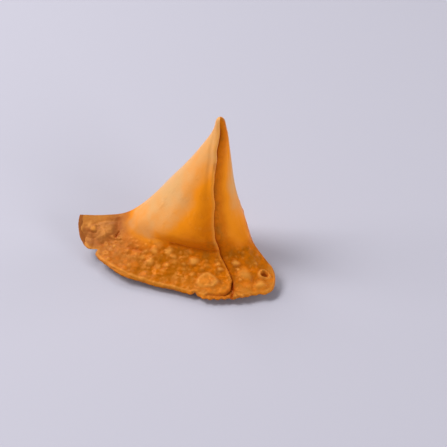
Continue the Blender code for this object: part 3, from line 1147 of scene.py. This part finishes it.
        # The sealed edge's rim: partly paler thin dough, partly a painted highlight.
        front.lighten(0.40 * hump(along, 1.0 - 0.8 * self.rounding, 0.7 * self.rounding))

    def fry(self, front: Sheet) -> None:
        """Raise the front's bubbles, press in its creases and crumble its fringe.

        Args:
            front: The front sheet.
        """
        for blister in self.all_blisters():
            front.add_blister(blister)
        for crease in CREASES:
            front.add_crease(crease)
        front.height += self.filling(front.across, front.along)
        lumpy = self.fringe(front.across, front.along)
        for lumps in self.crumble:
            front.height += lumpy * lumps.height(front.points)

    def seal(self, *sheets: Sheet) -> list[Array]:
        """Raise what the frying added, and round the sheets over into each other at the edge.

        Args:
            sheets: The front sheet and the back sheet.

        Returns:
            Each sheet's final points.
        """
        middle = sum(sheet.points for sheet in sheets) / len(sheets)
        sealed = []
        for sheet in sheets:
            turned = np.clip((sheet.along - 1.0 + self.rounding) / self.rounding, 0.0, 1.0)
            still_open = np.sqrt(1.0 - turned**2)[..., None]
            share = smooth_step(1.0 - np.abs(sheet.across), 0.0, 0.02) * (1.0 - turned**6)
            outward, down = self.cone.directions(*sheet.spots, sheet.side)
            way = outward * still_open + down * turned[..., None]
            points = middle + (sheet.points - middle) * still_open
            sealed.append(points + way * (sheet.height * share)[..., None])
        return sealed

    def filling(self, across: Array, along: Array) -> Array:
        """Measure the low, broad swellings where the filling presses on the dough.

        Args:
            across: Places between the folds.
            along: Places between the tip and the sealed edge.

        Returns:
            Their height, in the shape of the places.
        """
        on_body = smooth_step(along, 0.25, 0.55) * (1.0 - smooth_step(along, 0.66, 0.80))
        swelling = np.sin(5.3 * across + 9.0 * along + 0.7) * np.sin(7.0 * across - 11.0 * along + 2.1)
        return 0.40 * on_body * swelling

    def front_browning_and_painted_light(self, front: Sheet) -> Array:
        """Tell how brown the front fried, with light painted on the smooth cone: shade beside the lap and
        low on the belly, straw where the soft highlight falls.

        Args:
            front: The front sheet.

        Returns:
            0 for straw-coloured dough up to 1 for brown.
        """
        across, along, beside = front.across, front.along, front.beside
        # Left face, partly painted light: browner towards the lap and low on the belly, as painted shade
        # where it turns from the light, and straw further left, as a painted highlight.
        left = 0.31 * hump(beside, 0.0, 17.0) * smooth_step(along, 0.10, 0.45)
        left += 0.09 * hump(along, 0.12, 0.20) + 0.18 * smooth_step(along, 0.44, 0.68)
        left += 0.24 * smooth_step(along, 0.45, 0.72) * smooth_step(across, -0.75, 0.0)
        left += 0.20 * hump(beside, 0.0, 12.0) * hump(along, 0.50, 0.16)
        # Right face: a browner band beside the lap, painted shade where the upper layer shades it.
        right = 0.11 + 0.72 * hump(beside, 0.0, 7.5) * (1.0 - 0.5 * smooth_step(along, 0.5, 0.7))
        right += 0.36 * smooth_step(along, 0.45, 0.70)
        body = np.where(beside < 0.0, left, right)
        body += 0.5 * (1.0 - smooth_step(across, -0.99, -0.92)) * smooth_step(along, 0.66, 0.76)
        fringe = 0.98 - 0.13 * smooth_step(across, 0.05, 0.35) - 0.16 * hump(across, -0.58, 0.25)
        return body + (fringe - body) * self.fringe(across, along + 0.018)

    def back_browning(self, back: Sheet) -> Array:
        """Tell how brown the back fried, which runs on from the front at both folds.

        Args:
            back: The back sheet.

        Returns:
            0 for straw-coloured dough up to 1 for brown.
        """
        across, along = back.across, back.along
        middle = 0.17 + 0.12 * smooth_step(along, 0.35, 0.60)
        at_left = 0.09 * hump(along, 0.12, 0.20) + 0.18 * smooth_step(along, 0.44, 0.68)
        at_right = 0.11 + 0.36 * smooth_step(along, 0.45, 0.70)
        body = middle + (at_left - middle) * smooth_step(-across, 0.35, 1.0)
        body += (at_right - middle) * smooth_step(across, 0.35, 1.0)
        return body + (0.95 - body) * smooth_step(along, 0.66, 0.84)

    def drying(self, sheet: Sheet) -> Array:
        """Tell how much of the tab and of the fringe beside it dried tan.

        Args:
            sheet: Either sheet, since both dried alike.

        Returns:
            0 for fresh dough up to 1 for tan.
        """
        beside_tab = 0.45 * (1.0 - smooth_step(sheet.across, -0.75, -0.15))
        on_tab = 0.35 * (1.0 - smooth_step(sheet.across, -0.90, -0.78))
        return (beside_tab + on_tab) * smooth_step(sheet.along, 0.66, 0.80)

    def roll(self, rings: Array, looks: dict[str, Array]) -> bpy.types.Object:
        """Roll the flat dough along its rings and seal it.

        Args:
            rings: The rolled dough's points, ring by ring, each ring ending where it began.
            looks: Named numbers for the finish, in the same order.

        Returns:
            The crust's object.
        """
        dough = self.lay_out_dough(rings.shape[0], rings.shape[1] - 1)
        flat = np.empty(len(dough.data.vertices) * 3)
        dough.data.vertices.foreach_get("co", flat)
        flat = flat.reshape(-1, 3)
        row = np.rint((1.0 - flat[:, 1]) / 2 * (rings.shape[0] - 1)).astype(int)
        column = np.rint((flat[:, 0] + 1.0) / 2 * (rings.shape[1] - 1)).astype(int)
        dough.data.vertices.foreach_set("co", self.fitted(rings)[row, column].ravel())
        for name, values in looks.items():
            attribute = dough.data.attributes.new(name, "FLOAT", "POINT")
            attribute.data.foreach_set("value", values[row, column].astype(np.float32))

        bpy.ops.object.mode_set(mode="EDIT")
        bpy.ops.mesh.select_all(action="SELECT")
        bpy.ops.mesh.remove_doubles(threshold=WELD * MM)
        bpy.ops.mesh.normals_make_consistent(inside=False)
        bpy.ops.object.mode_set(mode="OBJECT")
        bpy.ops.object.shade_smooth()
        return dough

    def fitted(self, rings: Array) -> Array:
        """Fit the rolled dough to the frame's solid.

        Args:
            rings: The rolled dough's points, in millimetres.

        Returns:
            The points in metres, just inside the solid's box.
        """
        rings = rings.copy()
        rings[..., 2] = np.maximum(rings[..., 2], 0.0)
        low, high = rings.min(axis=(0, 1)), rings.max(axis=(0, 1))
        box_low, box_high = (np.array(corner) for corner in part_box("samosa"))
        clear = CLEARANCE * MM
        part = (rings - low) / (high - low)
        return box_low + clear + part * (box_high - box_low - 2 * clear) - np.array([0, 0, clear])

    def dress(self, crust: bpy.types.Object) -> None:
        """Give the crust its finish and its place in the frame.

        Args:
            crust: The crust's object.
        """
        crust.data.materials.append(self.finish.material())
        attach(crust, "root")
        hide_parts("samosa")


# ---- The studio ----
@dataclass(frozen=True)
class SoftLight:
    """A square soft box, aimed at the samosa.

    Attributes:
        name: What it is for.
        azimuth: Degrees it stands to the right of the camera, as seen from above.
        elevation: Degrees it stands above the counter.
        watts: Its power.
        side: Its side.
        distance: How far away it stands.
    """

    name: str
    azimuth: float
    elevation: float
    watts: float
    side: float = 800.0
    distance: float = 1600.0


@dataclass
class Studio:
    """The counter, the soft lights and the camera.

    Attributes:
        camera_azimuth: Degrees that the camera stands to the right of the samosa's front.
        camera_elevation: Degrees that it looks down.
        camera_distance: How far it stands from what it looks at.
        aim: What it looks at, on the counter.
        lens: Its focal length.
        lights: The soft boxes.
        light_height: How far above the counter they are aimed.
        sky: The even light from all round, as a colour and a strength.
        counter_side: The counter's side.
    """

    camera_azimuth: float = 19.4
    camera_elevation: float = 38.7
    camera_distance: float = 800.0
    aim: Point = (12.1, 37.2, 0.9)
    lens: float = 117.14
    lights: tuple[SoftLight, ...] = (
        SoftLight("key", azimuth=-96.0, elevation=54.0, watts=20.3, side=620.0),
        SoftLight("side", azimuth=-94.0, elevation=20.0, watts=7.6, side=700.0),
        SoftLight("back", azimuth=-150.0, elevation=50.0, watts=10.0),
        SoftLight("fill", azimuth=44.0, elevation=18.0, watts=12.8),
        SoftLight("rim", azimuth=105.0, elevation=18.0, watts=6.4),
    )
    light_height: float = 30.0
    sky: tuple[str, float] = ("#f2f3ff", 0.20)
    counter_side: float = 4000.0

    def direction(self, azimuth: float, elevation: float) -> Vector:
        """Give the direction towards something that stands beside the camera.

        Args:
            azimuth: Degrees to the camera's right.
            elevation: Degrees above the counter.

        Returns:
            A unit vector.
        """
        turn = math.radians(self.camera_azimuth + azimuth)
        rise = math.radians(elevation)
        return Vector((math.sin(turn) * math.cos(rise), -math.cos(turn) * math.cos(rise), math.sin(rise)))

    def place(self, data: bpy.types.ID, aim: Vector, towards: Vector, distance: float) -> bpy.types.Object:
        """Stand a camera or a light in the scene and aim it.

        Args:
            data: The camera or the light.
            aim: What it is aimed at, in metres.
            towards: The direction in which it stands.
            distance: How far away it stands, in millimetres.

        Returns:
            Its object.
        """
        thing = bpy.data.objects.new(data.name, data)
        thing.location = aim + towards * distance * MM
        thing.rotation_euler = towards.to_track_quat("Z", "Y").to_euler()
        bpy.context.scene.collection.objects.link(thing)
        return thing

    def build_counter(self) -> bpy.types.Object:
        """Lay the counter under the samosa.

        Returns:
            The counter's object.
        """
        bpy.ops.object.select_all(action="DESELECT")
        bpy.ops.mesh.primitive_plane_add(size=self.counter_side * MM)
        counter = bpy.context.object
        counter.name = "counter"
        counter.data.materials.append(MattCounter().material())
        return counter

    def build_lights(self) -> None:
        """Hang the soft boxes and set the even light."""
        middle = Vector((0.0, 0.0, self.light_height * MM))
        for light in self.lights:
            data = bpy.data.lights.new(f"{light.name}_soft_box", "AREA")
            data.size = light.side * MM
            data.energy = light.watts
            towards = self.direction(light.azimuth, light.elevation)
            self.place(data, middle, towards, light.distance).visible_camera = False
        world = bpy.data.worlds.new("studio_air")
        world.use_nodes = True
        air = world.node_tree.nodes["Background"]
        air.inputs["Color"].default_value = linear(self.sky[0])
        air.inputs["Strength"].default_value = self.sky[1]
        bpy.context.scene.world = world

    def build_camera(self) -> None:
        """Stand the camera and make the scene look through it."""
        data = bpy.data.cameras.new("camera")
        data.lens = self.lens
        data.clip_end = 20.0
        aim = Vector(self.aim) * MM
        towards = self.direction(0.0, self.camera_elevation)
        bpy.context.scene.camera = self.place(data, aim, towards, self.camera_distance)
        bpy.context.scene.view_settings.view_transform = "Standard"


def main() -> None:
    """Build the studio and the crust."""
    studio = Studio()
    studio.build_camera()
    studio.build_lights()
    studio.build_counter()
    LOG.info("studio: counter, %d soft lights and camera", len(studio.lights))

    crust = FriedCrust(RolledCone(), Lap(), FriedDough())
    piece = crust.build()
    crust.dress(piece)
    LOG.info("%s: %d points, %d faces", piece.name, len(piece.data.vertices), len(piece.data.polygons))


if __name__ == "__main__":
    logging.basicConfig(level=logging.INFO, format="%(message)s")
    main()
